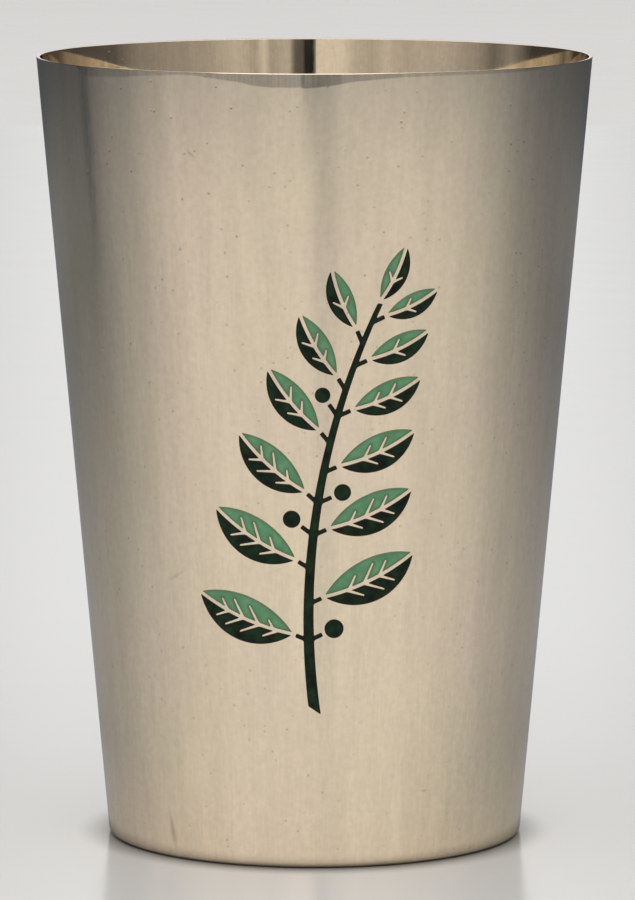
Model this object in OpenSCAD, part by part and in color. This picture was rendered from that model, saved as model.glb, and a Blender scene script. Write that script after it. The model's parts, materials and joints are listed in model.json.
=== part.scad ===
// Tapered silver julep cup with a champleve enamel laurel spray on its front.
// Millimetres. +Z is up, the origin is the centre of the foot and the front faces -Y.

/* [Cup] */
// Height from the foot to the top of the lip
cup_h = 108; // [95:1:125]
// Outer diameter at the lip
rim_d = 76.4; // [70:0.2:90]
// Outer diameter at the foot, before its corner is rounded
foot_d = 57.2; // [50:0.2:64]
// Thickness of the rolled wall sheet
wall_t = 0.5; // [0.4:0.05:1.2]

/* [Base] */
// Thickness of the base disc that the wall stands on
base_t = 1; // [1:0.1:2]
// Radius of the base disc's lower edge, the corner of the foot
foot_round = 0.9; // [0.2:0.05:0.95]
// Leg of the solder fillet between the base disc and the wall
base_fillet = 0.9; // [0.4:0.1:2]

/* [Seam] */
// Width of the soldered seam down the back of the wall
seam_w = 0.5; // [0.3:0.1:1.5]
// Gap left in the solid model between pieces that are soldered or fused
joint_gap = 0.02; // [0.01:0.01:0.04]

/* [Enamel] */
// Depth of the cells cut into the wall
cell_depth = 0.22; // [0.14:0.02:0.3]
// Height of the enamel above the wall
enamel_proud = 0.08; // [0.02:0.02:0.2]
// Width of bare metal left between neighbouring cells
cell_gap = 0.45; // [0.3:0.05:0.7]

/* [Stem] */
// Height of the cut end of the stem above the foot
stem_foot_z = 22; // [16:1:28]
// Sideways place of the cut end, to the right of the middle of the front
stem_foot_x = 0; // [-4:0.5:4]
// Straight distance from the cut end to the top of the stem
stem_len = 56; // [48:1:62]
// Lean of the stem to the right, in degrees
stem_lean = 9; // [2:1:14]
// How far the stem bows away from a straight line
stem_bow = 4; // [2:0.5:8]
// Width of the stem at its cut end
stem_foot_w = 1.6; // [1:0.1:2]
// Width of the stem at its top
stem_top_w = 0.7; // [0.5:0.1:1]
// Slant of the cut end, in degrees
stem_cut_slant = 25; // [0:5:45]

/* [Leaves] */
// Number of leaves along the sides of the stem
side_leaves = 12; // [6:1:12]
// Length of the lowest leaf
leaf_low_len = 14; // [11:0.5:17]
// Length of the leaf at the top
leaf_top_len = 8; // [6:0.5:10]
// Width of the lowest leaf
leaf_low_w = 6.2; // [4:0.2:7]
// Width of the leaf at the top
leaf_top_w = 3.2; // [2.2:0.2:3.6]
// Angle between the lowest leaf and the stem, in degrees
leaf_low_spread = 66; // [50:1:75]
// Angle between the highest side leaf and the stem, in degrees
leaf_top_spread = 42; // [36:1:55]
// Width of the leaf stalks
stalk_w = 0.6; // [0.4:0.1:0.9]
// Length of the leaf stalks beyond the middle of the stem
stalk_len = 1.9; // [1.4:0.1:2.6]
// Width of the side veins, where they leave the midrib
vein_w = 0.4; // [0.3:0.02:0.6]
// Distance between the side veins along the midrib
vein_pitch = 2.3; // [2:0.1:4]

/* [Berries] */
// Diameter of the lowest berry
berry_low_d = 2.6; // [1.6:0.1:3]
// Diameter a berry at the top of the stem would have
berry_top_d = 1.8; // [1.2:0.1:2]
// Length of the berry stalks beyond the middle of the stem
berry_stalk_len = 2; // [1.6:0.1:2.6]

/* [Hidden] */
$fn = 240;

// Colours
silver = [0.80, 0.74, 0.65];
solder = [0.72, 0.68, 0.62];
light_green = [0.35, 0.55, 0.41];
dark_green = [0.09, 0.17, 0.13];

// How far every cutting shape runs past what it cuts
overrun = 1;

// Straight segments in a rounded corner
corner_steps = 6;

// The wall's outer face is a cone through the foot circle and the lip circle
lip_r = wall_t / 2;
lip_z = cup_h - lip_r;
wall_slope = atan2((rim_d - foot_d) / 2, lip_z);
wall_level_t = wall_t / cos(wall_slope);

// Half the length of the outlines pushed through the wall, enough for the longest leaf on the round
wall_reach = cell_depth + overrun + leaf_low_len * leaf_low_len / foot_d;

// The first and last side leaf, the crowding towards the top and the bend of a leaf
first_leaf_share = 0.17;
last_leaf_share = 0.95;
leaf_crowding_share = 0.27;
leaf_bend_share = 0.05;

// Side veins: how far they reach into a half leaf, their far width and their angle to the midrib
vein_reach_share = 0.7;
vein_tip_share = 0.5;
vein_angle = 42;

// Places along the stem, counted in leaves from the lowest, where a berry stands opposite the leaf
berry_places = [0, 3, 4, 7];

// The stem's arc: its radius, and half of the angle that it spans
stem_r = arc_radius(stem_len, stem_bow);
stem_half_angle = asin(stem_len / 2 / stem_r);
stem_taper = asin((stem_foot_w - stem_top_w) / 2 / stem_len);

leaf_numbers = [for (i = [0 : side_leaves]) i];
berry_numbers = [for (b = [0 : len(berry_places) - 1]) if (berry_places[b] < side_leaves) b];

// Names of the repeated nodes, counted from the lowest
function two_digits(n) = n < 10 ? str("0", n) : str(n);
function leaf_name(i, shade) = str("leaf_", two_digits(i + 1), "_", shade);
function berry_name(b) = str("berry_", b + 1);

// Radius of the wall's outer face at height z, and of its inner face
function outer_r(z) = foot_d / 2 + z * tan(wall_slope);
function inner_r(z) = outer_r(z) - wall_level_t;

// Radius of the arc over a chord, from how far the arc rises above the chord
function arc_radius(chord, rise) = (chord * chord / 4 + rise * rise) / (2 * rise);

// Points on an arc about a centre, from one angle to another
function arc_points(centre, r, from, to) =
    [for (k = [0 : corner_steps]) let (a = from + (to - from) * k / corner_steps)
        centre + r * [cos(a), sin(a)]];

function mix(low, high, share) = low + (high - low) * share;

// Share of the way up the row of side leaves, and along the stem, of leaf i
function row_share(i) = min(i / (side_leaves - 1), 1);
function crowded(share) = share * (1 + leaf_crowding_share) - leaf_crowding_share * share * share;
function stem_share(i) =
    i < side_leaves ? mix(first_leaf_share, last_leaf_share, crowded(row_share(i))) : 1;

// Direction of the stem's chord, and the stem's direction and place [x, z] at a share of its length
stem_chord_angle = 90 - stem_lean;
function stem_angle(share) = stem_chord_angle + stem_half_angle * (1 - 2 * share);
function stem_point(share) =
    let (start = stem_angle(0) + 90, now = stem_angle(share) + 90)
    [stem_foot_x, stem_foot_z] + stem_r * [cos(now) - cos(start), sin(now) - sin(start)];

// Side leaves stand left and right in turn, and the last leaf follows the stem
function leaf_side(i) = i == side_leaves ? 0 : (i % 2 == 0 ? 1 : -1);
function leaf_spread(i) = mix(leaf_low_spread, leaf_top_spread, row_share(i));
function leaf_angle(i) = stem_angle(stem_share(i)) + leaf_side(i) * leaf_spread(i);
function leaf_len(i) = mix(leaf_low_len, leaf_top_len, row_share(i));
function leaf_w(i) = mix(leaf_low_w, leaf_top_w, row_share(i));
function leaf_start(i) = (i < side_leaves ? stalk_len : 0) + cell_gap;
function leaf_middle(i) = along(stem_point(stem_share(i)), leaf_angle(i), leaf_start(i) + leaf_len(i) / 2);

function berry_d(b) = mix(berry_low_d, berry_top_d, row_share(berry_places[b]));
function berry_angle(b) =
    let (i = berry_places[b]) stem_angle(stem_share(i)) - leaf_side(i) * leaf_spread(i);
function berry_middle(b) =
    along(stem_point(stem_share(berry_places[b])), berry_angle(b),
        berry_stalk_len + cell_gap + berry_d(b) / 2);

function along(point, angle, distance) = point + distance * [cos(angle), sin(angle)];

// Outline of the wall: lower edge, outer face, rounded lip, inner face
module wall_outline() {
    lip_centre = [outer_r(lip_z) - lip_r / cos(wall_slope), lip_z];
    polygon(concat(
        [[inner_r(base_t), base_t], [outer_r(base_t), base_t]],
        arc_points(lip_centre, lip_r, -wall_slope, 180 - wall_slope)
    ));
}

module wall_ring() {
    rotate_extrude() wall_outline();
}

// Upright slab at the back of the cup, where the rolled sheet closes
module seam_slab(width) {
    translate([-width / 2, 0, -overrun])
        cube([width, rim_d / 2 + overrun, cup_h + 2 * overrun]);
}

// Shell that follows the wall's outer face, from a depth below it to a height above it
module wall_layer(depth, height) {
    below = depth / cos(wall_slope);
    above = height / cos(wall_slope);
    rotate_extrude()
        polygon([
            [outer_r(0) - below, 0],
            [outer_r(0) + above, 0],
            [outer_r(lip_z) + above, lip_z],
            [outer_r(lip_z) - below, lip_z]
        ]);
}

// Pushes an outline through the front of the wall, square to it at a place [x, z]
module through_wall(place, angle = 0) {
    r = outer_r(place[1]);
    rotate([0, 0, place[0] / r * 180 / PI])
        translate([0, wall_reach - r, place[1]])
        rotate([90, 0, 0])
        linear_extrude(2 * wall_reach)
        rotate(angle)
        children();
}

// Disc whose edge is an arc over a chord from the origin along X, rising to +Y or, with side -1, -Y
module arc_disc(chord, rise, side, grow) {
    r = arc_radius(chord, rise);
    translate([chord / 2, side * (rise - r)])
        circle(r + grow);
}

// Half the width of a leaf at a distance along it
function half_width(length, width, x) = 2 * width * x * (length - x) / (length * length);

// Side veins of a half leaf, as wedges that start on the midrib
module leaf_veins(length, width, side, grow) {
    count = floor(length / vein_pitch) - 2;
    first = (length - (count - 1) * vein_pitch) / 2 - vein_pitch / 2;
    for (k = [0 : 1 : count - 1]) {
        x = first + k * vein_pitch;
        rise = vein_reach_share * half_width(length, width, x);
        end_rise = vein_reach_share * half_width(length, width, x + rise / tan(vein_angle));
        reach = min(rise, end_rise) / sin(vein_angle) - grow;
        root = vein_w / 2 - grow;
        tip = vein_w * vein_tip_share / 2 - grow;
        translate([x, 0])
            rotate(side * vein_angle)
            polygon([[-vein_w, -root], [reach, -tip], [reach, tip], [-vein_w, root]]);
    }
}

// Half of a leaf that lies along X with its middle at the origin, on its upper or lower side
module half_leaf(i, upper, grow = 0) {
    length = leaf_len(i);
    width = leaf_w(i);
    bend = length * leaf_bend_share;
    translate([-length / 2, 0])
        difference() {
            if (upper)
                intersection() {
                    arc_disc(length, width / 2 - bend, 1, grow);
                    arc_disc(length, bend, -1, grow - cell_gap / 2);
                }
            else
                difference() {
                    arc_disc(length, width / 2 + bend, -1, grow);
                    arc_disc(length, bend, -1, cell_gap / 2 - grow);
                }
            translate([0, -bend])
                leaf_veins(length, width, upper ? 1 : -1, grow);
        }
}

// The upper half is the one towards the tip of the spray
module leaf_prism(i, upper, grow = 0) {
    through_wall(leaf_middle(i), leaf_angle(i))
        mirror([0, leaf_side(i) > 0 ? 1 : 0])
        half_leaf(i, upper, grow);
}

module berry_prism(b, grow = 0) {
    through_wall(berry_middle(b))
        circle(berry_d(b) / 2 + grow);
}

// The bowed stem lies along X from its cut end, bowing to +Y, and thins towards the top
module stem_bow_outline(grow) {
    intersection() {
        difference() {
            translate([0, stem_foot_w / 2])
                rotate(-stem_taper)
                arc_disc(stem_len, stem_bow, 1, grow);
            translate([0, -stem_foot_w / 2])
                rotate(stem_taper)
                arc_disc(stem_len, stem_bow, 1, -grow);
        }
        translate([-grow, 0])
            rotate(-stem_cut_slant)
            translate([0, -stem_len])
            square(2 * stem_len);
        translate([-stem_len + grow, -stem_len])
            square(2 * stem_len);
    }
}

// Stalk from the middle of the stem at leaf i
module stalk_outline(i, angle, length, grow) {
    translate(stem_point(stem_share(i)))
        rotate(angle)
        translate([0, -stalk_w / 2 - grow])
        square([length + grow, stalk_w + 2 * grow]);
}

module stem_outline(grow = 0) {
    translate([stem_foot_x, stem_foot_z])
        rotate(stem_chord_angle)
        stem_bow_outline(grow);
    for (i = [0 : side_leaves - 1])
        stalk_outline(i, leaf_angle(i), stalk_len, grow);
    for (b = berry_numbers)
        stalk_outline(berry_places[b], berry_angle(b), berry_stalk_len, grow);
}

module stem_prism(grow = 0) {
    rotate([90, 0, 0])
        translate([0, 0, foot_d / 2 - wall_reach])
        linear_extrude(rim_d / 2 + 2 * wall_reach - foot_d / 2)
        stem_outline(grow);
}

// Enamel fills its cell and stands a little above the wall
module enamel() {
    intersection() {
        wall_layer(cell_depth - joint_gap, enamel_proud);
        children();
    }
}

// Cell cut into the wall for one piece of enamel
module cell() {
    intersection() {
        wall_layer(cell_depth, overrun);
        children();
    }
}

module cup_wall() {
    color(silver)
        difference() {
            wall_ring();
            seam_slab(seam_w);
            cell() stem_prism(joint_gap);
            for (i = leaf_numbers) {
                cell() leaf_prism(i, true, joint_gap);
                cell() leaf_prism(i, false, joint_gap);
            }
            for (b = berry_numbers)
                cell() berry_prism(b, joint_gap);
        }
}

module wall_seam_solder() {
    color(solder)
        intersection() {
            wall_ring();
            seam_slab(seam_w - 2 * joint_gap);
        }
}

// The disc's edge carries on the slope of the wall above it, down to the rounded foot corner
module base_disc() {
    corner_centre = [outer_r(foot_round) - foot_round / cos(wall_slope), foot_round];
    color(silver)
        rotate_extrude()
        polygon(concat(
            [[0, 0]],
            arc_points(corner_centre, foot_round, -90, -wall_slope),
            [[outer_r(base_t), base_t], [0, base_t]]
        ));
}

// Hollow fillet that runs round the inside corner, on the base disc and against the wall
module base_solder_fillet() {
    high_z = base_t + base_fillet;
    low_r = inner_r(base_t) - joint_gap;
    high_r = inner_r(high_z) - joint_gap;
    color(solder)
        rotate_extrude()
        polygon(concat(
            [[low_r, base_t], [high_r, high_z]],
            arc_points([low_r - base_fillet, high_z], base_fillet, -wall_slope, -90)
        ));
}

module stem() {
    color(dark_green)
        enamel() stem_prism();
}

module leaf_light(i) {
    color(light_green)
        enamel() leaf_prism(i, true);
}

module leaf_dark(i) {
    color(dark_green)
        enamel() leaf_prism(i, false);
}

module berry(b) {
    color(dark_green)
        enamel() berry_prism(b);
}

cup_wall();
wall_seam_solder();
base_disc();
base_solder_fillet();
stem();
for (i = leaf_numbers) {
    leaf_light(i);
    leaf_dark(i);
}
for (b = berry_numbers)
    berry(b);
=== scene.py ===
"""Dresses a tapered silver julep cup that carries a laurel spray in green enamel.

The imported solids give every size. The wall and the base are turned again as fine meshes with a
hand-worked lip, each enamel cell is filled with a low fired dome, and a plain pale studio stands
round the cup. Lengths are in metres. Angles round the cup start at its front and grow towards +X.
"""

from __future__ import annotations

import json
import logging
import math
from dataclasses import dataclass
from enum import Enum
from typing import Any, Sequence

import bpy
import numpy as np
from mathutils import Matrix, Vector, kdtree
from mathutils.geometry import delaunay_2d_cdt

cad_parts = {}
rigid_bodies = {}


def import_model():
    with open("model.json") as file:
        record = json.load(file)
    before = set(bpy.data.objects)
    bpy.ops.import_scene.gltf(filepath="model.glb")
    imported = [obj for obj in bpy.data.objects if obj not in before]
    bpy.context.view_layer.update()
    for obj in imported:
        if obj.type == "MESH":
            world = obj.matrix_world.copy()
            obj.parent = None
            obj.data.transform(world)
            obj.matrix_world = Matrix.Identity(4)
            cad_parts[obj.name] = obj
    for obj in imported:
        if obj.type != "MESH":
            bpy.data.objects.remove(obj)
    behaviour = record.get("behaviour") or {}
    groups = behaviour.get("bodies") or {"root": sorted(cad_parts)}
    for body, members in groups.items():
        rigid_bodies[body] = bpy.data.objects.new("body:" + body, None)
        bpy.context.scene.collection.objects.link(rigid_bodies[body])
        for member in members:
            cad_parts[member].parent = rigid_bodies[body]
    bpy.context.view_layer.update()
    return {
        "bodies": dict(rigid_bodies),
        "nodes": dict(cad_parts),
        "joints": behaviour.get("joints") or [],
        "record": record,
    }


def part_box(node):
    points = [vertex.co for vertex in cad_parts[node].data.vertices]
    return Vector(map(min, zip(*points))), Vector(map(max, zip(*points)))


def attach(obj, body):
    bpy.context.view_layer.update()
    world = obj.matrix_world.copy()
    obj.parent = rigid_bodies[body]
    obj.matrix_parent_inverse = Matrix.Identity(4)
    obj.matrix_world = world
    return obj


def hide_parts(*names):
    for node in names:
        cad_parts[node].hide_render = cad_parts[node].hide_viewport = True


log = logging.getLogger("julep_cup")

MM = 0.001
BODY = "root"

Triple = tuple[float, float, float]
Colour = Triple
Span = tuple[float, float]
Socket = bpy.types.NodeSocket

WHITE: Colour = (1.0, 1.0, 1.0)
SHARES: Span = (0.0, 1.0)
# The values of a noise that are mapped: nearly all of them, or the middle ones for a harder edge.
NOISE: Span = (0.3, 0.7)
NOISE_MIDDLE: Span = (0.35, 0.65)


def round_cup(radius: Any, angle: Any, height: Any) -> np.ndarray:
    """Gives points (x, y, z) from their radius, their angle round the cup and their height."""
    return np.stack([radius * np.sin(angle), -radius * np.cos(angle), height], axis=-1)


class Slot(str, Enum):
    """The record's material slots."""

    SILVER = "silver"
    SOLDER = "solder"
    LIGHT_ENAMEL = "light_enamel"
    DARK_ENAMEL = "dark_enamel"


class Recipe:
    """The node tree of a material or a world, put together one node at a time.

    Attributes:
        MIX_INPUTS: Numbers of a colour mix's inputs: the share and the two colours.
        MIX_OUTPUT: Number of its output.
        owner: The material or the world.
        tree: Its node tree.
    """

    MIX_INPUTS = (0, 6, 7)
    MIX_OUTPUT = 2

    def __init__(self, owner: bpy.types.Material | bpy.types.World) -> None:
        """Starts an empty tree.

        Args:
            owner: The new material or world.
        """
        self.owner = owner
        owner.use_nodes = True
        self.tree = owner.node_tree
        self.tree.nodes.clear()

    def feed(self, socket: Socket, value: Any) -> None:
        """Links a socket to another one, or sets its number or colour.

        Args:
            socket: The input to feed.
            value: An output socket, a number, a vector or a colour.
        """
        if isinstance(value, Socket):
            self.tree.links.new(value, socket)
        elif socket.type == "RGBA":
            socket.default_value = (*value, 1.0)
        else:
            socket.default_value = value

    def finish(self, **sockets: Any) -> bpy.types.Material:
        """Adds the main shader and hands out the material.

        Args:
            sockets: Values for the shader's inputs, with _ for the spaces in their names.

        Returns:
            The finished material.
        """
        inputs = {key.replace("_", " "): value for key, value in sockets.items()}
        return self.surface(self.node("BsdfPrincipled", inputs))

    def surface(self, shader: Socket, kind: str = "OutputMaterial") -> bpy.types.ID:
        """Puts a shader on the surface and hands out the material or the world."""
        self.node(kind, {"Surface": shader}, None)
        return self.owner

    def node(self, kind: str, inputs: dict[Any, Any], output: Any = 0, **settings: Any) -> Socket | None:
        """Adds one node.

        Args:
            kind: The node's type, without its ShaderNode prefix.
            inputs: Values for its inputs, by name or by number.
            output: Name or number of the output that is wanted, or None.
            settings: The node's own settings.

        Returns:
            The output socket, if one is wanted.
        """
        made = self.tree.nodes.new("ShaderNode" + kind)
        for key, value in settings.items():
            setattr(made, key, value)
        for key, value in inputs.items():
            self.feed(made.inputs[key], value)
        return None if output is None else made.outputs[output]

    def place(self, stretch: Triple = (1.0, 1.0, 1.0)) -> Socket:
        """Gives the place on the object, with each axis scaled by stretch."""
        here = self.node("TexCoord", {}, "Object")
        return self.node("Mapping", {"Vector": here, "Scale": stretch})

    def noise(self, place: Socket, size: float, detail: float = 2.0) -> Socket:
        """Gives soft noise whose patches are about size across."""
        return self.node("TexNoise", {"Vector": place, "Scale": 1.0 / size, "Detail": detail})

    def spots(self, place: Socket, pitch: float) -> Socket:
        """Gives the distance to scattered points that lie about pitch apart, in pitches."""
        return self.node("TexVoronoi", {"Vector": place, "Scale": 1.0 / pitch}, "Distance")

    def spread(self, value: Socket, within: Span, onto: Span = SHARES, **settings: Any) -> Socket:
        """Maps a value from one range onto another and stops at its ends."""
        ends = {"From Min": within[0], "From Max": within[1], "To Min": onto[0], "To Max": onto[1]}
        return self.node("MapRange", {"Value": value, **ends}, **settings)

    def length(self, vector: Socket) -> Socket:
        """Gives the length of a vector."""
        return self.node("VectorMath", {0: vector}, "Value", operation="LENGTH")

    def maths(self, operation: str, first: Any, second: Any) -> Socket:
        """Combines two numbers."""
        return self.node("Math", {0: first, 1: second}, operation=operation)

    def mix(self, share: Any, first: Any, second: Any, blend: str = "MIX") -> Socket:
        """Lays a share of the second colour over the first."""
        inputs = dict(zip(self.MIX_INPUTS, (share, first, second)))
        return self.node("Mix", inputs, self.MIX_OUTPUT, data_type="RGBA", blend_type=blend)

    def bump(self, height: Socket, depth: float) -> Socket:
        """Turns a height into a bumped normal, where 1 in height stands for depth."""
        return self.node("Bump", {"Height": height, "Distance": depth, "Strength": 1.0}, "Normal")


@dataclass(frozen=True)
class Nick:
    """A single nick or scratch in the wall's outer face.

    Attributes:
        angle: Angle of its middle round the cup, in degrees.
        height: Height of its middle.
        lean: Angle that it leans to the right, in degrees.
        half_width: Half its width.
        half_length: Half its length.
        loss: Share of the light that its middle loses.
    """

    angle: float
    height: float
    lean: float
    half_width: float
    half_length: float
    loss: float

    def shade(self, recipe: Recipe, radius: float) -> Socket:
        """Gives the share of the light that is left round the nick.

        Args:
            recipe: The recipe of the metal.
            radius: Radius of the wall at the nick's height.

        Returns:
            The share.
        """
        angle = math.radians(self.angle)
        near = recipe.node("Mapping", {
            "Vector": recipe.place(),
            "Location": round_cup(radius, angle, self.height),
            "Rotation": (0.0, math.radians(self.lean), angle),
            "Scale": (self.half_width, self.half_width, self.half_length),
        }, vector_type="TEXTURE")
        return recipe.spread(recipe.length(near), SHARES, (1 - self.loss, 1.0))


@dataclass(frozen=True)
class SilverFinish:
    """Silver with a warm tone, soft upright streaks, fine scratches and scattered pits.

    Attributes:
        name: Name of the material.
        rosy: Tone of the pinker patches.
        golden: Tone of the yellower patches.
        gloss: Lowest and highest roughness.
        toning_size: Width of the toned patches.
        worn_size: Width of the patches that are worn duller.
        worn_range: Sums of wear and scratches between which the roughness grows.
        stretch: Width of a streak or a scratch as a share of its length.
        streak_size: Width of the soft streaks.
        streak_loss: Share of the light that the darkest streaks lose.
        scratch_size: Width of the fine scratches.
        scratch_loss: Share of the light that the darkest scratches lose.
        scratch_depth: Depth of the fine scratches.
        mottle_size: Width of the small dull patches.
        mottle_loss: Share of the light that the dullest patches lose.
        pit_pitch: Usual distance between pits.
        pit_radius: Radius of a pit.
        pit_loss: Share of the light that a pit loses.
        pit_depth: Depth of a pit.
    """

    name: str
    rosy: Colour
    golden: Colour
    gloss: Span
    toning_size: float = 22 * MM
    worn_size: float = 22 * MM / 3
    worn_range: Span = (0.75, 1.25)
    stretch: float = 0.02
    streak_size: float = 2.2 * MM
    streak_loss: float = 0.08
    scratch_size: float = 0.3 * MM
    scratch_loss: float = 0.08
    scratch_depth: float = 0.25e-6
    mottle_size: float = 0.8 * MM
    mottle_loss: float = 0.09
    pit_pitch: float = 1.95 * MM
    pit_radius: float = 0.24 * MM
    pit_loss: float = 0.40
    pit_depth: float = 0.011 * MM

    def material(self, nicks: Sequence[tuple[Nick, float]] = ()) -> bpy.types.Material:
        """Mixes the finish.

        Args:
            nicks: Single nicks, each with the radius of the wall at its height.

        Returns:
            The material.
        """
        recipe = Recipe(bpy.data.materials.new(self.name))
        here = recipe.place()
        upright = recipe.place((1.0, 1.0, self.stretch))
        toning = recipe.spread(recipe.noise(here, self.toning_size, detail=3.0), NOISE_MIDDLE)
        scratches = recipe.noise(upright, self.scratch_size, detail=3.0)
        to_pit = recipe.spots(here, self.pit_pitch)
        pits = recipe.spread(to_pit, (0.0, self.pit_radius / self.pit_pitch))
        pits = recipe.maths("MAXIMUM", pits, toning)
        shade = recipe.spread(pits, SHARES, (1 - self.pit_loss, 1.0))
        for marks, loss in ((recipe.noise(upright, self.streak_size), self.streak_loss),
                            (scratches, self.scratch_loss),
                            (recipe.noise(here, self.mottle_size, detail=3.0), self.mottle_loss)):
            shade = recipe.maths("MULTIPLY", shade, recipe.spread(marks, NOISE, (1 - loss, 1.0)))
        for nick, radius in nicks:
            shade = recipe.maths("MULTIPLY", shade, nick.shade(recipe, radius))
        tone = recipe.mix(toning, self.rosy, self.golden)
        worn = recipe.noise(here, self.worn_size, detail=4.0)
        rough = recipe.spread(recipe.maths("ADD", worn, scratches), self.worn_range, self.gloss)
        fine = recipe.maths("MULTIPLY", scratches, self.scratch_depth / self.pit_depth)
        depth = recipe.maths("ADD", fine, pits)
        grey = recipe.node("CombineColor", {0: shade, 1: shade, 2: shade})
        return recipe.finish(
            Base_Color=recipe.mix(1.0, tone, grey, "MULTIPLY"),
            Metallic=1.0,
            Roughness=rough,
            Normal=recipe.bump(depth, self.pit_depth),
        )


@dataclass(frozen=True)
class EnamelFinish:
    """Fired enamel, darker along the rim of its cell.

    Attributes:
        name: Name of the material.
        body: Colour where the enamel is deep.
        rim: Colour along the rim of the cell.
        deep: Colour of the darker clouds in the body.
        gloss: Lowest and highest roughness of the fired surface.
        shine: Specular level of the fired surface.
        cloud_size: Width of the clouds.
        grain_size: Width of the fine unevenness of the surface.
        grain_depth: Depth of the fine unevenness.
    """

    name: str
    body: Colour
    rim: Colour
    deep: Colour
    gloss: Span
    shine: float
    cloud_size: float = 1.6 * MM
    grain_size: float = 0.25 * MM
    grain_depth: float = 0.004 * MM

    def material(self) -> bpy.types.Material:
        """Mixes the finish.

        Returns:
            The material.
        """
        recipe = Recipe(bpy.data.materials.new(self.name))
        here = recipe.place()
        inside = recipe.node("Attribute", {}, "Fac", attribute_name=EnamelCell.RIM_SHARE)
        clouds = recipe.spread(recipe.noise(here, self.cloud_size, detail=3.0), NOISE_MIDDLE)
        body = recipe.mix(clouds, self.deep, self.body)
        grain = recipe.noise(here, self.grain_size)
        return recipe.finish(
            Base_Color=recipe.mix(inside, self.rim, body),
            Roughness=recipe.spread(grain, NOISE, self.gloss),
            Specular_IOR_Level=self.shine,
            Normal=recipe.bump(grain, self.grain_depth),
        )


class Silver(Enum):
    """The finishes of the metal."""

    SATIN = SilverFinish("satin_silver", (0.97, 0.810, 0.635), (0.97, 0.835, 0.625), (0.11, 0.17))
    BRIGHT = SilverFinish("bright_silver", (0.98, 0.830, 0.650), (0.98, 0.85, 0.64), (0.03, 0.07))
    SOLDER = SilverFinish("dressed_solder", (0.93, 0.790, 0.635), (0.93, 0.81, 0.625), (0.04, 0.09))


class Enamel(Enum):
    """The finishes of the enamel."""

    LIGHT = EnamelFinish("mid_green_enamel", (0.148, 0.352, 0.182), (0.100, 0.170, 0.078),
                         (0.104, 0.276, 0.136), (0.29, 0.39), 0.25)
    DARK = EnamelFinish("blackish_green_enamel", (0.0100, 0.0365, 0.0140), (0.0140, 0.0110, 0.0050),
                        (0.0015, 0.0080, 0.0038), (0.29, 0.39), 0.13)


def eased_share(value: Any, start: float, end: Any) -> Any:
    """Gives 0 before start, 1 after end and a soft rise between them, for numbers or arrays."""
    share = np.clip((value - start) / (end - start), 0.0, 1.0)
    return share * share * (3 - 2 * share)


def new_mesh_object(name: str, corners: Sequence[Any], faces: Sequence[Any]) -> bpy.types.Object:
    """Makes a smooth-shaded mesh object and links it to the scene.

    Args:
        name: Name of the object.
        corners: Its corners.
        faces: Its faces, as numbers of corners.

    Returns:
        The object.
    """
    mesh = bpy.data.meshes.new(name)
    mesh.from_pydata(corners, [], faces)
    mesh.shade_smooth()
    made = bpy.data.objects.new(name, mesh)
    bpy.context.scene.collection.objects.link(made)
    return made


def dress(piece: bpy.types.Object, slot: Slot, *nodes: str) -> None:
    """Puts a piece on the cup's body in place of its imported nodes.

    Args:
        piece: The piece.
        slot: The record's slot that its finish comes from.
        nodes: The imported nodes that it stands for.
    """
    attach(piece, BODY)
    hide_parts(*nodes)
    log.info("%s: %d faces, %s", piece.name, len(piece.data.polygons), slot.value)


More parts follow.
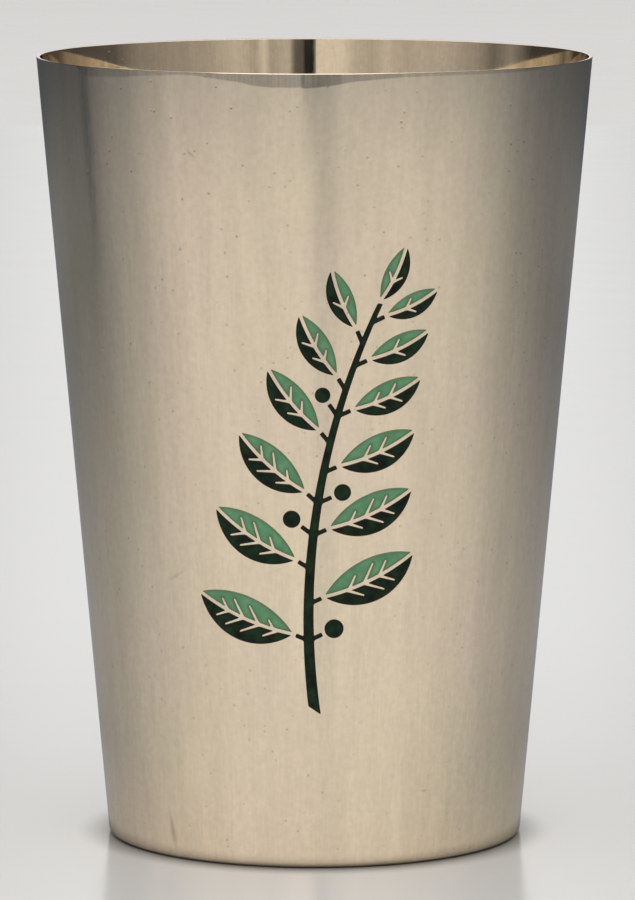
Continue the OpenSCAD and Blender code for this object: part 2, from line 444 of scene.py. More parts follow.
@dataclass(frozen=True)
class CupForm:
    """The turned shape of the cup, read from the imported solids.

    Attributes:
        height: Height of the lip's top.
        base_t: Thickness of the base disc.
        wall_t: Thickness of the wall, square to it.
        slope: Lean of the wall away from upright.
        foot_radius: Radius of the wall's outer cone at the foot.
        seam_w: Width of the slot that the seam fills.
    """

    height: float
    base_t: float
    wall_t: float
    slope: float
    foot_radius: float
    seam_w: float

    @classmethod
    def from_frame(cls, seam_gap: float = 0.02 * MM) -> CupForm:
        """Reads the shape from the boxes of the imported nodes.

        Args:
            seam_gap: Gap between the seam and the wall on each side.

        Returns:
            The form.
        """
        wall_low, wall_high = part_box("cup_wall")
        disc_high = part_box("base_disc")[1]
        seam_low, seam_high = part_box("wall_seam_solder")
        level_t = disc_high.x - seam_low.y
        rise = wall_high.z - level_t / 2 - wall_low.z
        slope = math.atan2(wall_high.x - disc_high.x, rise)
        return cls(
            height=wall_high.z,
            base_t=wall_low.z,
            wall_t=level_t * math.cos(slope),
            slope=slope,
            foot_radius=disc_high.x - wall_low.z * math.tan(slope),
            seam_w=seam_high.x - seam_low.x + 2 * seam_gap,
        )

    @property
    def apex_z(self) -> float:
        """Height of the outer cone's apex, below the foot."""
        return -self.foot_radius / math.tan(self.slope)

    @property
    def widest(self) -> float:
        """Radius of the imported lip's outermost edge."""
        return self.outer(self.height - self.wall_t / 2 / math.cos(self.slope))

    def outer(self, z: Any) -> Any:
        """Gives the radius of the outer face at a height."""
        return self.foot_radius + z * math.tan(self.slope)

    def inner(self, z: Any) -> Any:
        """Gives the radius of the inner face at a height."""
        return self.outer(z) - self.wall_t / math.cos(self.slope)

    def lift(self, points: np.ndarray) -> np.ndarray:
        """Gives how far points stand out from the outer face."""
        radius = np.hypot(points[:, 0], points[:, 1])
        return (radius - self.outer(points[:, 2])) * math.cos(self.slope)

    def unrolled(self, points: np.ndarray) -> np.ndarray:
        """Lays points of the outer face flat, as the wall's sheet was before it was rolled.

        Args:
            points: Points (x, y, z).

        Returns:
            Points (across, up) on the sheet.
        """
        slant = (points[:, 2] - self.apex_z) / math.cos(self.slope)
        turn = np.arctan2(points[:, 0], -points[:, 1]) * math.sin(self.slope)
        foot = -self.apex_z / math.cos(self.slope)
        return np.stack([slant * np.sin(turn), slant * np.cos(turn) - foot], axis=1)

    def rolled(self, sheet: np.ndarray, lift: np.ndarray) -> np.ndarray:
        """Rolls points of the flat sheet up again.

        Args:
            sheet: Points (across, up) on the sheet.
            lift: How far each point stands out from the outer face.

        Returns:
            Points (x, y, z).
        """
        up = sheet[:, 1] - self.apex_z / math.cos(self.slope)
        slant = np.hypot(sheet[:, 0], up)
        angle = np.arctan2(sheet[:, 0], up) / math.sin(self.slope)
        radius = slant * math.sin(self.slope) + lift * math.cos(self.slope)
        height = slant * math.cos(self.slope) + self.apex_z - lift * math.sin(self.slope)
        return round_cup(radius, angle, height)


@dataclass(frozen=True)
class LipBend:
    """A strip below the lip that has been pressed to lean inwards.

    Attributes:
        stations: Angles in degrees, from left to right, each with the height of the strip in
            millimetres and the angle that it leans inwards in degrees.
    """

    stations: tuple[Triple, ...]

    def inset(self, angle: np.ndarray, below_top: np.ndarray) -> np.ndarray:
        """Gives how far each point moves inwards.

        Args:
            angle: Angle of each point.
            below_top: Distance of each point below the lip's top.

        Returns:
            The distances.
        """
        places, drops, leans = np.array(self.stations).T
        drop = MM * np.interp(np.degrees(angle), places, drops, left=0.0, right=0.0)
        lean = np.radians(np.interp(np.degrees(angle), places, leans))
        return np.tan(lean) * np.maximum(drop - below_top, 0.0)


@dataclass(frozen=True)
class Turning:
    """A closed outline turned about the cup's axis.

    Attributes:
        outline: Points (radius, height), anticlockwise. One on the axis has the radius 0.
        turns: Angles round the axis, from the back round by the front to the back again.
        slot_w: Width of an upright slot that is left open at the back, or 0.
        worn: The outline as it is where the front is worn, or None.
        wear: Angles between which the wear comes, and between which it goes again.
        bend: A strip below the outline's top that leans inwards, or None.
    """

    outline: np.ndarray
    turns: np.ndarray
    slot_w: float = 0.0
    worn: np.ndarray | None = None
    wear: tuple[Span, Span] = ((-math.pi, 0.0), (0.0, math.pi))
    bend: LipBend | None = None

    def angles(self, radius: float) -> np.ndarray:
        """Gives the angles of the steps round the axis at a radius."""
        angle = self.turns * (1 - math.asin(self.slot_w / 2 / radius) / math.pi)
        return angle if self.slot_w else angle[:-1]

    def ring(self, number: int, top: float) -> np.ndarray:
        """Turns one point of the outline.

        Args:
            number: Number of the point.
            top: Height of the outline's top.

        Returns:
            Points (x, y, z) round the axis, or one point if it lies on the axis.
        """
        radius, z = self.outline[number]
        if radius <= 0.0:
            return np.array([[0.0, 0.0, z]])
        angle = self.angles(radius)
        radii, heights = np.full_like(angle, radius), np.full_like(angle, z)
        if self.worn is not None:
            share = eased_share(angle, *self.wear[0]) * (1 - eased_share(angle, *self.wear[1]))
            radii += share * (self.worn[number][0] - radius)
            heights += share * (self.worn[number][1] - z)
        if self.bend is not None:
            radii -= self.bend.inset(angle, top - heights)
        return round_cup(radii, angle, heights)

    def build(self, name: str) -> bpy.types.Object:
        """Turns the outline into a closed mesh.

        Args:
            name: Name of the object.

        Returns:
            The object.
        """
        top = float(self.outline[:, 1].max())
        rings = [self.ring(number, top) for number in range(len(self.outline))]
        starts = np.cumsum([0] + [len(ring) for ring in rings])
        faces: list[tuple[int, ...]] = []
        for i, ring in enumerate(rings):
            after = (i + 1) % len(rings)
            faces += self.band(starts[i], len(ring), starts[after], len(rings[after]))
        if self.slot_w:
            for ends in (starts[:-1].tolist(), (starts[:0:-1] - 1).tolist()):
                faces += [(ends[k], ends[k + 1], ends[-k - 2], ends[-k - 1])
                          for k in range(len(ends) // 2 - 1)]
        return new_mesh_object(name, np.concatenate(rings).tolist(), faces)

    def band(self, low: int, low_count: int, high: int, high_count: int) -> list[tuple[int, ...]]:
        """Joins two neighbouring rings with faces.

        Args:
            low: Number of the first ring's first corner.
            low_count: Number of its corners.
            high: Number of the second ring's first corner.
            high_count: Number of its corners.

        Returns:
            The faces.
        """
        around = max(low_count, high_count)
        if around == 1:
            return []
        made = []
        for k in range(around - 1 if self.slot_w else around):
            after = (k + 1) % around
            corners = (low + k % low_count, low + after % low_count,
                       high + after % high_count, high + k % high_count)
            made.append(tuple(int(corner) for corner in dict.fromkeys(corners)))
        return made


class BackStrip(Turning):
    """An outline turned only over a narrow strip at the back, slot_w wide, with turns from -1 to 1."""

    def angles(self, radius: float) -> np.ndarray:
        """Gives the angles of the steps over the strip at a radius."""
        return math.pi + self.turns * math.asin(self.slot_w / 2 / radius)


def arc(centre: Span, radius: float, first: float, last: float, steps: int) -> np.ndarray:
    """Gives points on an arc.

    Args:
        centre: Its centre (radius from the axis, height).
        radius: Its radius.
        first: Angle of its first point.
        last: Angle of its last point.
        steps: Number of steps between them.

    Returns:
        The points.
    """
    angle = np.linspace(first, last, steps + 1)
    return np.stack([centre[0] + radius * np.cos(angle), centre[1] + radius * np.sin(angle)], axis=1)


@dataclass(frozen=True)
class CupMetal:
    """The wall, its seam, the base disc and the solder in the corner.

    Attributes:
        form: The cup's turned shape.
        foot_round: Radius of the foot's corner.
        lip_outer: Radius of the lip's outer corner, where it is crisp and where it is worn.
        lip_inner: Radius of the lip's inner corner.
        lip_fall: How much lower the lip's inner corner lies than its outer one.
        wear: Angles between which the wear of the lip comes, and between which it goes again.
        bend: The strip below the lip that leans inwards.
        nicks: Single nicks in the outer face.
        front: Angle from the front, to each side, up to which the steps are fine.
        turn_steps: Number of steps over that angle, and from there to the back.
        band: Height of the strip below the lip that has fine steps.
        rise_steps: Number of steps up to that strip, and up the strip.
        corner_steps: Number of steps round a corner.
        seam_steps: Number of steps across the seam.
        sharp: Angle above which an edge stays sharp.
    """

    form: CupForm
    foot_round: float = 0.9 * MM
    lip_outer: Span = (0.02 * MM, 0.09 * MM)
    lip_inner: float = 0.03 * MM
    lip_fall: float = 0.075 * MM
    wear: tuple[Span, Span] = (
        (math.radians(-24), math.radians(-17)),
        (math.radians(3), math.radians(26)),
    )
    bend: LipBend = LipBend((
        (-57.0, 0.00, 1.0), (-54.0, 1.35, 1.2), (-43.0, 1.10, 1.2), (-35.0, 0.65, 1.2), (-27.5, 0.40, 1.5),
        (-24.5, 0.40, 2.2), (-19.0, 0.85, 2.6), (-15.0, 1.15, 2.6), (-12.3, 1.60, 2.6), (-8.7, 1.80, 2.6),
        (-4.5, 1.80, 2.6), (-2.5, 1.80, 1.7), (-2.1, 1.90, 3.0), (1.0, 1.75, 3.1), (4.4, 1.45, 3.3),
        (7.6, 1.05, 3.2), (12.0, 0.80, 3.0), (18.0, 0.55, 2.2), (25.0, 0.50, 1.4), (35.0, 0.50, 1.2),
        (45.0, 0.55, 1.2), (52.0, 0.40, 1.2), (56.0, 0.00, 1.2),
    ))
    nicks: tuple[Nick, ...] = (
        Nick(-41.6, 3.8 * MM, -7.0, 0.55 * MM, 3.8 * MM, 0.36),
        Nick(-26.1, 97.1 * MM, -50.0, 0.30 * MM, 0.9 * MM, 0.30),
        Nick(-35.5, 39.6 * MM, 57.0, 0.25 * MM, 1.7 * MM, 0.25),
        Nick(30.0, 10.1 * MM, 85.0, 0.25 * MM, 0.6 * MM, 0.30),
    )
    front: float = math.radians(60)
    turn_steps: tuple[int, int] = (200, 100)
    band: float = 2.4 * MM
    rise_steps: tuple[int, int] = (24, 24)
    corner_steps: int = 10
    seam_steps: int = 8
    sharp: float = math.radians(40)

    @property
    def stand_radius(self) -> float:
        """Radius of the circle inside the foot's rounded corner."""
        return self.form.outer(self.foot_round) - self.foot_round / math.cos(self.form.slope)

    def turns(self) -> np.ndarray:
        """Steps round the cup, from the back round by the front to the back again.

        Returns:
            The angles of the steps.
        """
        near = np.linspace(0.0, self.front, self.turn_steps[0], endpoint=False)
        side = np.concatenate([near, np.linspace(self.front, math.pi, self.turn_steps[1] + 1)])
        return np.concatenate([-side[:0:-1], side])

    def face(self, z: Any) -> Any:
        """Gives the radius of the outer face at a height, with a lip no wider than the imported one."""
        trim = self.form.outer(self.form.height) - self.form.widest
        return self.form.outer(z) - trim * z / self.form.height

    def rows(self, top: float) -> np.ndarray:
        """Steps up a face of the wall, without its top.

        Args:
            top: Height of the face's top.

        Returns:
            The heights of the steps.
        """
        band = self.form.height - self.band
        plain = np.linspace(self.form.base_t, band, self.rise_steps[0], endpoint=False)
        return np.concatenate([plain, np.linspace(band, top, self.rise_steps[1], endpoint=False)])

    def wall_outline(self, corner: float) -> np.ndarray:
        """Draws the outline of the wall.

        Args:
            corner: Radius of the lip's outer corner.

        Returns:
            Its points, from the outer lower corner over the lip to the inner lower corner.
        """
        form = self.form
        outer_z, inner_z = form.height - corner, form.height - self.lip_fall - self.lip_inner
        outer_mid = (self.face(outer_z) - corner / math.cos(form.slope), outer_z)
        inner_mid = (form.inner(inner_z) + self.lip_inner / math.cos(form.slope), inner_z)
        outer_lip = arc(outer_mid, corner, -form.slope, math.pi / 2, self.corner_steps)
        inner_lip = arc(inner_mid, self.lip_inner, math.pi / 2, math.pi - form.slope, self.corner_steps)
        up = self.rows(outer_lip[0, 1])
        down = self.rows(inner_lip[-1, 1])[::-1]
        outer = np.stack([self.face(up), up], axis=1)
        inner = np.stack([form.inner(down), down], axis=1)
        return np.concatenate([outer, outer_lip, inner_lip, inner])

    def build_wall(self) -> None:
        """Turns the wall, satin outside and bright inside."""
        crisp, worn = (self.wall_outline(corner) for corner in self.lip_outer)
        turns = self.turns()
        wall = Turning(crisp, turns, self.form.seam_w, worn, self.wear, self.bend).build("silver_wall")
        wall.data.set_sharp_from_angle(angle=self.sharp)
        nicks = [(nick, self.form.outer(nick.height)) for nick in self.nicks]
        wall.data.materials.append(Silver.SATIN.value.material(nicks))
        wall.data.materials.append(Silver.BRIGHT.value.material())
        around, half = len(turns) - 1, len(crisp) // 2
        inside = np.zeros(len(wall.data.polygons), dtype=np.int32)
        inside[half * around:(len(crisp) - 1) * around] = 1
        wall.data.polygons.foreach_set("material_index", inside)
        dress(wall, Slot.SILVER, "cup_wall")

    def build_base(self) -> None:
        """Turns the base disc with its rounded foot."""
        form = self.form
        centre = (self.stand_radius, self.foot_round)
        corner = arc(centre, self.foot_round, -math.pi / 2, -form.slope, 2 * self.corner_steps)
        outline = np.concatenate([
            [[0.0, 0.0]],
            corner,
            [[form.outer(form.base_t), form.base_t], [0.0, form.base_t]],
        ])
        base = Turning(outline, self.turns()).build("silver_base")
        base.data.set_sharp_from_angle(angle=self.sharp)
        base.data.materials.append(bpy.data.materials[Silver.SATIN.value.name])
        dress(base, Slot.SILVER, "base_disc")

    def build_solder(self, fillet: bpy.types.Object) -> None:
        """Fills the wall's slot with the seam and dresses the fillet.

        Args:
            fillet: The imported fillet.
        """
        solder = Silver.SOLDER.value.material()
        outline = self.wall_outline(self.lip_outer[0])
        across = np.linspace(-1.0, 1.0, self.seam_steps + 1)
        seam = BackStrip(outline, across, self.form.seam_w).build("solder_seam")
        seam.data.set_sharp_from_angle(angle=self.sharp)
        seam.data.materials.append(solder)
        dress(seam, Slot.SOLDER, "wall_seam_solder")
        fillet.data.materials.clear()
        fillet.data.materials.append(solder)
        log.info("%s: kept, %s", fillet.name, Slot.SOLDER.value)


@dataclass(frozen=True)
class EnamelCell:
    """The enamel in one cell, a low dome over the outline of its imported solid.

    Attributes:
        RIM_SHARE: Name of the attribute that grows from 0 at the rim to 1 inside it.
        INSIDE_ONLY: The kind of filling that leaves out what lies outside the rim.
        form: The cup's turned shape.
        node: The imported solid.
        slack: How far below its highest corner the solid's outer face may lie.
        weld: Distance within which corners of the solid are one.
        step: Distance between points along the rim.
        easing: Number of times the rim is eased, which rounds its corners.
        rings: Distances of the rings of points inside the rim.
        ring_stride: Points of the rim for each point of a ring.
        ring_share: Share of a ring's distance that its points have to keep from the whole rim.
        pitch: Distance between the points inside the rings.
        pitch_gap: Distance between the rings and those points.
        merge: Distance within which points are one, in millimetres.
        shoulder: Width of the rounded edge.
        crown: Extra height in the middle of a wide cell.
        crown_reach: Distance from the rim over which the crown rises.
        rim_w: Width of the darker rim.
        sink: How far the enamel reaches below the wall's face.
    """

    RIM_SHARE = "rim_share"
    INSIDE_ONLY = 1

    form: CupForm
    node: bpy.types.Object
    slack: float = 0.015 * MM
    weld: float = 0.0012 * MM
    step: float = 0.12 * MM
    easing: int = 3
    rings: tuple[float, ...] = (0.05 * MM, 0.12 * MM)
    ring_stride: int = 2
    ring_share: float = 0.9
    pitch: float = 0.3 * MM
    pitch_gap: float = 0.1 * MM
    merge: float = 1e-6
    shoulder: float = 0.14 * MM
    crown: float = 0.05 * MM
    crown_reach: float = 0.7 * MM
    rim_w: float = 0.45 * MM
    sink: float = 0.06 * MM

    def solid_corners(self) -> np.ndarray:
        """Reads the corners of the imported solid.

        Returns:
            Points (x, y, z).
        """
        mesh = self.node.data
        corners = np.empty(3 * len(mesh.vertices))
        mesh.vertices.foreach_get("co", corners)
        return corners.reshape(-1, 3)

    def rim(self) -> np.ndarray:
        """Finds the rim of the solid's outer face, on the flat sheet.

        Returns:
            Points in order round the rim, anticlockwise, a step apart or less.
        """
        corners = self.solid_corners()
        lift = self.form.lift(corners)
        on_top = lift > lift.max() - self.slack
        same = [tuple(corner) for corner in np.round(corners / self.weld).astype(int).tolist()]
        sides = set()
        for face in self.node.data.polygons:
            if on_top[list(face.vertices)].all():
                around = [same[v] for v in face.vertices]
                sides |= set(zip(around, around[1:] + around[:1]))
        after = {a: b for a, b in sides if (b, a) not in sides}
        places = dict(zip(same, corners))
        first = here = min(after)
        order = []
        while here != first or not order:
            order.append(places[here])
            here = after[here]
        if len(order) != len(after):
            log.warning("%s: its rim has %d loose points", self.node.name, len(after) - len(order))
        return self.eased(self.form.unrolled(np.array(order)))

    def eased(self, rim: np.ndarray) -> np.ndarray:
        """Splits the sides of a rim into steps and rounds its corners a little.

        Args:
            rim: The corners of the rim.

        Returns:
            The eased rim.
        """
        points = []
        for a, b in zip(rim, np.roll(rim, -1, axis=0)):
            count = max(1, math.ceil(np.linalg.norm(b - a) / self.step))
            points += [a + (b - a) * k / count for k in range(count)]
        eased = np.array(points)
        for _ in range(self.easing):
            eased = (np.roll(eased, 1, axis=0) + 2 * eased + np.roll(eased, -1, axis=0)) / 4
        return eased

    def fill(self, rim: np.ndarray) -> np.ndarray:
        """Spreads points over the inside of a rim, in rings and then on a grid.

        Args:
            rim: The rim.

        Returns:
            The points.
        """
        along = np.roll(rim, -1, axis=0) - np.roll(rim, 1, axis=0)
        inward = np.stack([-along[:, 1], along[:, 0]], axis=1)
        inward /= np.linalg.norm(inward, axis=1, keepdims=True)
        tree = self.rim_tree(rim)
        kept = []
        for ring in self.rings:
            kept += [p for p in (rim + ring * inward)[::self.ring_stride]
                     if self.distance(tree, p) > self.ring_share * ring]
        low, high = rim.min(axis=0), rim.max(axis=0)
        rows = np.arange(low[1], high[1], self.pitch * math.sqrt(3) / 2)
        for row, v in enumerate(rows):
            shift = self.pitch / 2 if row % 2 else 0.0
            kept += [np.array([u, v]) for u in np.arange(low[0] + shift, high[0], self.pitch)
                     if self.distance(tree, (u, v)) > self.rings[-1] + self.pitch_gap]
        points = np.array(kept)
        return points[self.within(points, rim)]

    @staticmethod
    def within(points: np.ndarray, rim: np.ndarray) -> np.ndarray:
        """Says which points lie inside a rim.

        Args:
            points: The points.
            rim: The rim.

        Returns:
            True for each point inside.
        """
        inside = np.zeros(len(points), dtype=bool)
        for (x0, y0), (x1, y1) in zip(rim, np.roll(rim, -1, axis=0)):
            if y0 != y1:
                crosses = (y0 > points[:, 1]) != (y1 > points[:, 1])
                inside ^= crosses & (points[:, 0] < (x1 - x0) * (points[:, 1] - y0) / (y1 - y0) + x0)
        return inside

    @staticmethod
    def rim_tree(rim: np.ndarray, parts: int = 4) -> kdtree.KDTree:
        """Sorts the points of a rim, so that the nearest one is found fast.

        Args:
            rim: The rim.
            parts: Number of parts that each side is split into.

        Returns:
            The sorted points.
        """
        after = np.roll(rim, -1, axis=0)
        points = np.concatenate([rim + (after - rim) * k / parts for k in range(parts)])
        tree = kdtree.KDTree(len(points))
        for number, (u, v) in enumerate(points):
            tree.insert((u, v, 0.0), number)
        tree.balance()
        return tree

    @staticmethod
    def distance(tree: kdtree.KDTree, point: Sequence[float]) -> float:
        """Gives the distance from a point to a sorted rim."""
        return tree.find((point[0], point[1], 0.0))[2]

    def height(self, inside: np.ndarray, proud: float) -> np.ndarray:
        """Gives the dome's height at distances from the rim.

        Args:
            inside: The distances.
            proud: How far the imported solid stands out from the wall.

        Returns:
            The heights.
        """
        edge = np.clip(1 - inside / self.shoulder, 0.0, 1.0)
        crown = 1 - np.clip(1 - inside / self.crown_reach, 0.0, 1.0) ** 2
        return proud * np.sqrt(1 - edge**2) + self.crown * crown

    def build(self, enamel: bpy.types.Material) -> bpy.types.Object:
        """Fills the cell.

        Args:
            enamel: The enamel's material.

        Returns:
            The filled cell, as a closed mesh.
        """
        rim = self.rim()
        flat = np.concatenate([rim, self.fill(rim)])
        points = [Vector(p) for p in (flat / MM).tolist()]
        made = delaunay_2d_cdt(points, [], [list(range(len(rim)))], self.INSIDE_ONLY, self.merge)
        sheet = np.array([tuple(p) for p in made[0]]) * MM
        faces = [tuple(face) for face in made[2]]
        tree = self.rim_tree(rim)
        inside = np.array([self.distance(tree, p) for p in sheet])
        proud = float(self.form.lift(self.solid_corners()).max())
        count = len(sheet)
        top = self.form.rolled(sheet, self.height(inside, proud))
        under = self.form.rolled(sheet, np.full(count, -self.sink))
        sides = {side for face in faces for side in zip(face, face[1:] + face[:1])}
        skirt = [(b, a, a + count, b + count) for a, b in sides if (b, a) not in sides]
        closed = faces + [tuple(c + count for c in reversed(face)) for face in faces] + sorted(skirt)
        piece = new_mesh_object(f"enamel_{self.node.name}", np.concatenate([top, under]).tolist(), closed)
        share = np.tile(np.clip(inside / self.rim_w, 0.0, 1.0), 2)
        piece.data.attributes.new(self.RIM_SHARE, "FLOAT", "POINT").data.foreach_set("value", share)
        piece.data.materials.append(enamel)
        return piece


@dataclass(frozen=True)
class LaurelSpray:
    """The spray of leaves and berries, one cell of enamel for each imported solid.

    Attributes:
        form: The cup's turned shape.
    """

    form: CupForm

    def build(self, frame: dict[str, Any]) -> None:
        """Fills every cell in the shade that the record gives it.

        Args:
            frame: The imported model.
        """
        shades = {
            Slot.LIGHT_ENAMEL: Enamel.LIGHT.value.material(),
            Slot.DARK_ENAMEL: Enamel.DARK.value.material(),
        }
        for subpart in frame["record"]["subparts"]:
            slot = Slot(subpart["material_slot"])
            if slot in shades:
                node = frame["nodes"][subpart["node"]]
                dress(EnamelCell(self.form, node).build(shades[slot]), slot, node.name)


@dataclass(frozen=True)
class ViewPoint:
    """The camera's place in front of the cup.

    Attributes:
        distance: Distance in front of the cup's axis.
        height: Height above the floor.
        tilt: Angle that it looks down.
        turn: Angle that it looks to the right.
        focus_px: Focal length in pixels of the picture.
        picture_px: Height of the picture in pixels, its longer side.
        sensor: Length of the sensor along that side, in millimetres.
    """

    distance: float = 0.8375
    height: float = 0.1619
    tilt: float = math.radians(7.389)
    turn: float = 0.0005
    focus_px: float = 6095.0
    picture_px: float = 900.0
    sensor: float = 36.0

    def build(self) -> None:
        """Sets up the camera."""
        data = bpy.data.cameras.new("camera")
        data.sensor_width = self.sensor
        data.lens = self.sensor * self.focus_px / self.picture_px
        camera = bpy.data.objects.new("camera", data)
        camera.location = (0.0, -self.distance, self.height)
        camera.rotation_euler = (math.pi / 2 - self.tilt, 0.0, -self.turn)
        bpy.context.scene.collection.objects.link(camera)
        bpy.context.scene.camera = camera


@dataclass(frozen=True)
class SoftBox:
    """A soft lamp that faces the cup.

    Attributes:
        name: Name of the lamp.
        place: Its middle.
        size: Its width and height.
        brightness: Brightness of its face, where 1 shows as white.
        target: Point that it faces.
    """

    name: str
    place: Triple
    size: Span
    brightness: float
    target: Triple = (0.0, 0.0, 0.05)

    def build(self) -> None:
        """Hangs the lamp, out of the camera's sight."""
        data = bpy.data.lights.new(self.name, "AREA")
        data.shape = "RECTANGLE"
        data.size, data.size_y = self.size
        data.energy = self.brightness * math.pi * self.size[0] * self.size[1]
        lamp = bpy.data.objects.new(self.name, data)
        lamp.location = self.place
        aim = Vector(self.target) - Vector(self.place)
        lamp.rotation_euler = aim.to_track_quat("-Z", "Y").to_euler()
        lamp.visible_camera = False
        bpy.context.scene.collection.objects.link(lamp)


def show_to_metal_only(name: str, grid: np.ndarray, tints: np.ndarray, shader: str) -> None:
    """Sets up a tinted board of the stage that shows in reflections, from its front, and nowhere else.

    Args:
        name: Name of the board.
        grid: Its corners (x, y, z), in rows.
        tints: The colour at each corner, row after row.
        shader: Type of the shader that takes the colour.
    """
    rows, across, _ = grid.shape
    faces = [(k, k + 1, k + across + 1, k + across)
             for start in range(0, (rows - 1) * across, across) for k in range(start, start + across - 1)]
    board = new_mesh_object(name, grid.reshape(rows * across, -1).tolist(), faces)
    colours = np.column_stack([tints, np.ones(len(tints))])
    board.data.attributes.new("tint", "FLOAT_COLOR", "POINT").data.foreach_set("color", colours.ravel())
    recipe = Recipe(bpy.data.materials.new(name))
    tint = recipe.node("Attribute", {}, "Color", attribute_name="tint")
    board_shader = recipe.node(shader, {"Color": tint})
    clear = recipe.node("BsdfTransparent", {"Color": WHITE})
    from_behind = recipe.node("NewGeometry", {}, "Backfacing")
    both = recipe.node("MixShader", {0: from_behind, 1: board_shader, 2: clear})
    board.data.materials.append(recipe.surface(both))
    board.visible_camera = False
    board.visible_diffuse = False
    board.visible_shadow = False
    board.visible_transmission = False


@dataclass(frozen=True)
class GradedScreen:
    """An upright graded screen round the cup that glows and shows only in reflections, painting what the
    lip and the inside mirror.

    Attributes:
        reach: Distance from the cup's axis.
        step: Width of one flat strip, in degrees.
        rises: Angles from the front in degrees, and the height of the upper edge at each.
        tones: Angles in degrees, from left to right, and the brightness of the glow at each.
        warmth: Tint of the screen before and beside the cup.
        cooling: Angles from the front between which the tint fades.
    """

    reach: float = 1.3
    step: float = 1.0
    rises: tuple[Span, ...] = (
        (0, 0.35), (45, 0.35), (60, 0.95), (166, 0.95), (175, 0.35), (180, 0.35),
    )
    tones: tuple[Span, ...] = (
        (-180, 0.80), (-176, 0.80), (-170, 0.10), (-140, 0.05), (-108, 0.05), (-103, 0.12), (-95, 0.26),
        (-85, 0.16), (-76, 0.29), (-58, 0.46), (-48, 0.47), (-40, 0.44), (-32, 0.57), (-25, 0.45),
        (-18, 0.50), (-11, 0.74), (-1, 0.68), (0, 0.02), (4, 0.02), (5, 0.10), (8, 0.12), (9, 0.18),
        (11, 0.50), (19, 0.40), (22, 0.66), (26, 0.41), (35, 0.53), (50, 0.37), (83, 0.24), (97, 0.10),
        (140, 0.05), (170, 0.10), (176, 0.80), (180, 0.80),
    )
    warmth: Colour = (1.0, 0.93, 0.86)
    cooling: Span = (160, 176)

    def build(self) -> None:
        """Stands the screen up."""
        stops, greys = zip(*self.tones)
        angles = np.arange(stops[0], stops[-1] + self.step, self.step)
        rises = np.interp(np.abs(angles), *zip(*self.rises))
        edges = [round_cup(self.reach, np.radians(angles), height) for height in (0 * rises, rises)]
        cool = eased_share(np.abs(angles), *self.cooling)[:, None]
        # Painted reflection: the screen's glow at each angle round the cup.
        glow = np.interp(angles, stops, greys)[:, None] * (cool + (1 - cool) * np.array(self.warmth))
        glows = glow.repeat(len(edges), axis=0)
        show_to_metal_only("graded_screen", np.stack(edges, axis=1), glows, "Emission")


@dataclass(frozen=True)
class Streak:
    """A dark upright streak in what the wall mirrors.

    Attributes:
        left: Angles between which it darkens, in degrees.
        right: Angles between which it clears again.
        losses: Shares of the cup's height, each with the share of the light that is lost there.
    """

    left: Span
    right: Span
    losses: tuple[Span, ...]

    def loss(self, angle: np.ndarray, up: np.ndarray) -> np.ndarray:
        """Gives the share of the light that is lost.

        Args:
            angle: Angles of places on the wall, in degrees.
            up: Their heights, as shares of the cup's height.

        Returns:
            The shares.
        """
        within = eased_share(angle, *self.left) * (1 - eased_share(angle, *self.right))
        return within * np.interp(up, *zip(*self.losses))


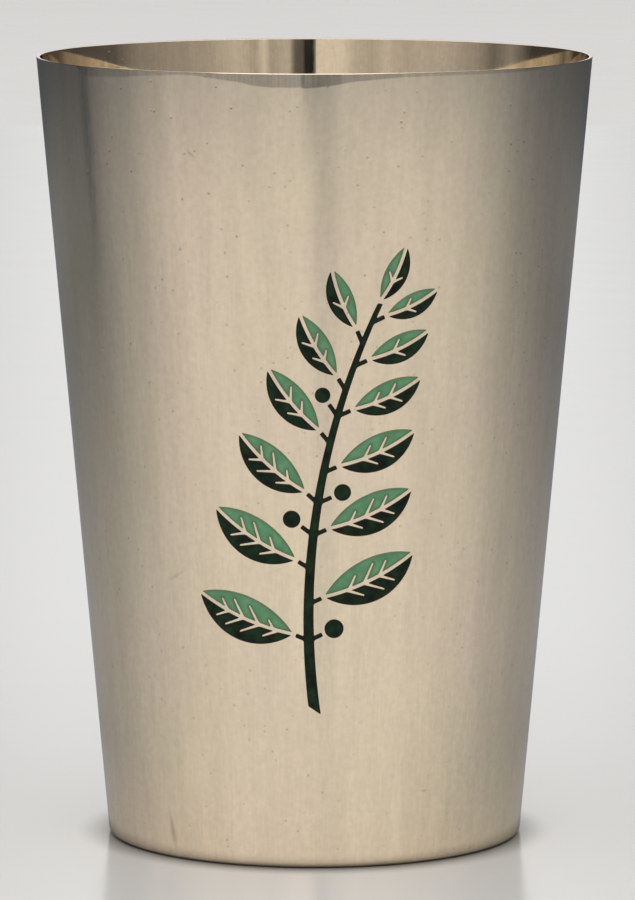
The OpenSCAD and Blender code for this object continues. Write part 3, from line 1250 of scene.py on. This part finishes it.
@dataclass(frozen=True)
class FloorGel:
    """A graded gel over the floor, seen from above and only in the metal.

    Each point of the floor is mirrored at one place of the wall. The gel holds back as much light at that
    point as the place needs to turn darker towards the cup's edges and towards its lip.

    Attributes:
        form: The cup's turned shape.
        stand_radius: Radius of the circle that the cup stands on.
        view_tilt: Angle between the line of sight and the floor.
        lift: Height above the floor.
        reach: Distances of its inner and outer edges from the circle that the cup stands on.
        edge: Share of the cup's half width at which its side starts to darken.
        sides: Shares of the cup's height, each with the angle in degrees that the brightest place lies
            to the right of the front, the share of the half width at which the side is darkest, and the
            share of the light that is lost there.
        top: Shares of the cup's height between which the strip below its lip darkens.
        top_loss: Share of the light that is lost above that strip.
        streaks: Dark streaks that the gel paints into the wall's reflection.
        cooling: Powers that leave a little more green and blue light than red light.
        steps: Steps round the cup and outwards.
        rounds: Number of times that the mirrored place is worked out more closely.
    """

    form: CupForm
    stand_radius: float
    view_tilt: float = math.radians(7.3)
    lift: float = 0.02 * MM
    reach: Span = (0.2 * MM, 1.29)
    edge: float = 0.45
    sides: tuple[tuple[float, float, float, float], ...] = (
        (0.00, -5.0, 1.05, 0.22), (0.10, -3.0, 1.03, 0.45), (0.25, 1.5, 1.03, 0.44),
        (0.50, 2.0, 1.02, 0.59), (0.80, 2.0, 0.93, 0.66), (1.00, 0.5, 0.88, 0.60),
    )
    top: Span = (0.95, 1.60)
    top_loss: float = 0.57
    streaks: tuple[Streak, ...] = (
        Streak((-72.0, -63.0), (-55.2, -53.4), ((0.74, 0.0), (0.84, 0.14), (1.0, 0.16))),
        Streak((-58.5, -56.8), (-55.4, -53.9), ((0.88, 0.0), (0.96, 0.40))),
        Streak((-1.8, 2.0), (2.6, 6.4), ((0.0, 0.04), (1.0, 0.10))),
        Streak((-2.5, -2.2), (-0.5, 1.5), ((1.05, 0.0), (1.35, 0.42))),
    )
    cooling: Triple = (1.0, 0.92, 0.82)
    steps: tuple[int, int] = (720, 80)
    rounds: int = 30

    def fall(self, turn: np.ndarray) -> np.ndarray:
        """Gives how steeply the line of sight goes on down after the wall has mirrored it.

        Args:
            turn: Angles from the cup's front to places on the wall.

        Returns:
            The drops for each metre along the floor.
        """
        slope = self.form.slope
        facing = math.cos(slope) * math.cos(self.view_tilt) * np.cos(turn)
        facing -= math.sin(slope) * math.sin(self.view_tilt)
        drop = math.sin(self.view_tilt) + 2 * math.sin(slope) * facing
        return drop / np.sqrt(1 - drop * drop)

    def mirrored_at(self, angle: np.ndarray, radius: np.ndarray) -> tuple[np.ndarray, np.ndarray]:
        """Finds the places on the wall that mirror points of the floor.

        Args:
            angle: Angles of the points from the front, up to half a turn.
            radius: Distances of the points from the axis.

        Returns:
            The angles of the places from the front, and their heights.
        """
        turn, height = angle / 2, np.zeros_like(angle)
        for _ in range(self.rounds):
            wall = self.form.outer(np.minimum(height, self.form.height))
            turn = (angle + np.arcsin(np.minimum(wall / radius * np.sin(turn), 1.0))) / 2
            out = radius * np.cos(angle - 2 * turn) - wall * np.cos(turn)
            height = (height + out * self.fall(turn)) / 2
        return turn, np.maximum(height, 0.0)

    def passed(self, angle: np.ndarray, radius: np.ndarray) -> np.ndarray:
        """Gives the share of the light that the gel lets through.

        Args:
            angle: Angles of points from the front, to the right or, below zero, to the left.
            radius: Distances of the points from the axis.

        Returns:
            The shares.
        """
        turn, height = self.mirrored_at(np.abs(angle), radius)
        up = height / self.form.height
        heights, *columns = zip(*self.sides)
        shift, darkest, loss = (np.interp(up, heights, column) for column in columns)
        side = np.copysign(turn, angle)
        edge = loss * eased_share(np.abs(np.sin(side - np.radians(shift))), self.edge, darkest)
        top = self.top_loss * eased_share(up, *self.top)
        passed = (1 - edge) * (1 - top)
        for streak in self.streaks:
            passed *= 1 - streak.loss(np.degrees(side), up)
        return passed

    def build(self) -> None:
        """Lays the gel."""
        around, out = self.steps
        turns = np.linspace(-math.pi, math.pi, around + 1)
        radii = self.stand_radius + np.geomspace(*self.reach, out + 1)
        angle, radius = np.meshgrid(turns, radii, indexing="ij")
        grid = round_cup(radius, angle, np.full_like(angle, self.lift))
        share = self.passed(angle.ravel(), radius.ravel())
        tints = np.stack([share**power for power in self.cooling], axis=1)
        show_to_metal_only("floor_gel", grid, tints, "BsdfTransparent")


@dataclass(frozen=True)
class Studio:
    """A plain pale floor in soft light, with a contact shadow painted into the floor's colour round the
    cup's foot.

    Attributes:
        form: The cup's turned shape.
        stand_radius: Radius of the circle that the cup stands on.
        floor_reach: Radius of the floor.
        floor_sides: Number of sides of its edge.
        floor_colour: Colour of the floor.
        floor_gloss: Lowest and highest roughness of the floor.
        cloud_size: Width of the floor's duller patches.
        shade: Distances from the circle that the cup stands on between which the shadow painted into the
            floor's colour round the foot fades.
        painted_shadow_colour: Colour of the floor in that shade.
        backdrop: Colour behind the floor.
        fill: Brightness of the light from all round.
        lamps: The soft lamps.
    """

    form: CupForm
    stand_radius: float
    floor_reach: float = 6.0
    floor_sides: int = 64
    floor_colour: Colour = (0.74, 0.735, 0.72)
    floor_gloss: Span = (0.18, 0.22)
    cloud_size: float = 50 * MM
    # The shadow round the foot is painted into the floor's colour: these give its reach and its colour.
    shade: Span = (-1.5 * MM, 6 * MM)
    painted_shadow_colour: Colour = (0.125, 0.115, 0.100)
    backdrop: Colour = (0.72, 0.71, 0.69)
    fill: float = 0.25
    lamps: tuple[SoftBox, ...] = (
        SoftBox("overhead_lamp", (0.0, -0.3, 2.0), (6.0, 6.0), 0.95, (0.0, -0.3, 0.0)),
        SoftBox("front_lamp", (0.0, -1.7, 1.5), (2.2, 1.2), 0.9),
    )

    def build_floor(self) -> None:
        """Lays a large pale floor with a slight sheen, with a soft shadow painted into its colour round
        the cup's foot.
        """
        angles = [2 * math.pi * k / self.floor_sides for k in range(self.floor_sides)]
        rim = [(self.floor_reach * math.cos(a), self.floor_reach * math.sin(a), 0.0) for a in angles]
        floor = new_mesh_object("floor", rim, [tuple(range(self.floor_sides))])
        recipe = Recipe(bpy.data.materials.new("pale_floor"))
        here = recipe.place()
        cloud = recipe.spread(recipe.noise(here, self.cloud_size), NOISE, self.floor_gloss)
        # Painted shadow: the floor's colour darkens towards the cup's foot.
        inner, outer = (self.stand_radius + distance for distance in self.shade)
        clear = recipe.spread(recipe.length(here), (inner, outer), interpolation_type="SMOOTHSTEP")
        colour = recipe.mix(clear, self.painted_shadow_colour, self.floor_colour)
        floor.data.materials.append(recipe.finish(Base_Color=colour, Roughness=cloud))

    def build_world(self) -> None:
        """Lights the scene from all round and shows a pale backdrop to the eye and the metal."""
        recipe = Recipe(bpy.data.worlds.new("studio"))
        seen = recipe.node("LightPath", {}, "Is Camera Ray")
        rays = seen.node.outputs
        for ray in ("Is Glossy Ray", "Is Transmission Ray"):
            seen = recipe.maths("MAXIMUM", seen, rays[ray])
        light = recipe.node("Background", {"Color": WHITE, "Strength": self.fill})
        show = recipe.node("Background", {"Color": self.backdrop})
        both = recipe.node("MixShader", {0: seen, 1: light, 2: show})
        bpy.context.scene.world = recipe.surface(both, "OutputWorld")

    def build(self) -> None:
        """Sets up the floor, the light and the boards."""
        self.build_floor()
        self.build_world()
        for lamp in self.lamps:
            lamp.build()
        GradedScreen().build()
        FloorGel(self.form, self.stand_radius).build()


def main() -> None:
    """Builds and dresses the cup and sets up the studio."""
    logging.basicConfig(level=logging.INFO, format="%(name)s: %(message)s")
    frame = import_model()
    bpy.context.scene.view_settings.view_transform = "Standard"
    ViewPoint().build()
    form = CupForm.from_frame()
    metal = CupMetal(form)
    metal.build_wall()
    metal.build_base()
    metal.build_solder(frame["nodes"]["base_solder_fillet"])
    LaurelSpray(form).build(frame)
    Studio(form, metal.stand_radius).build()


if __name__ == "__main__":
    main()
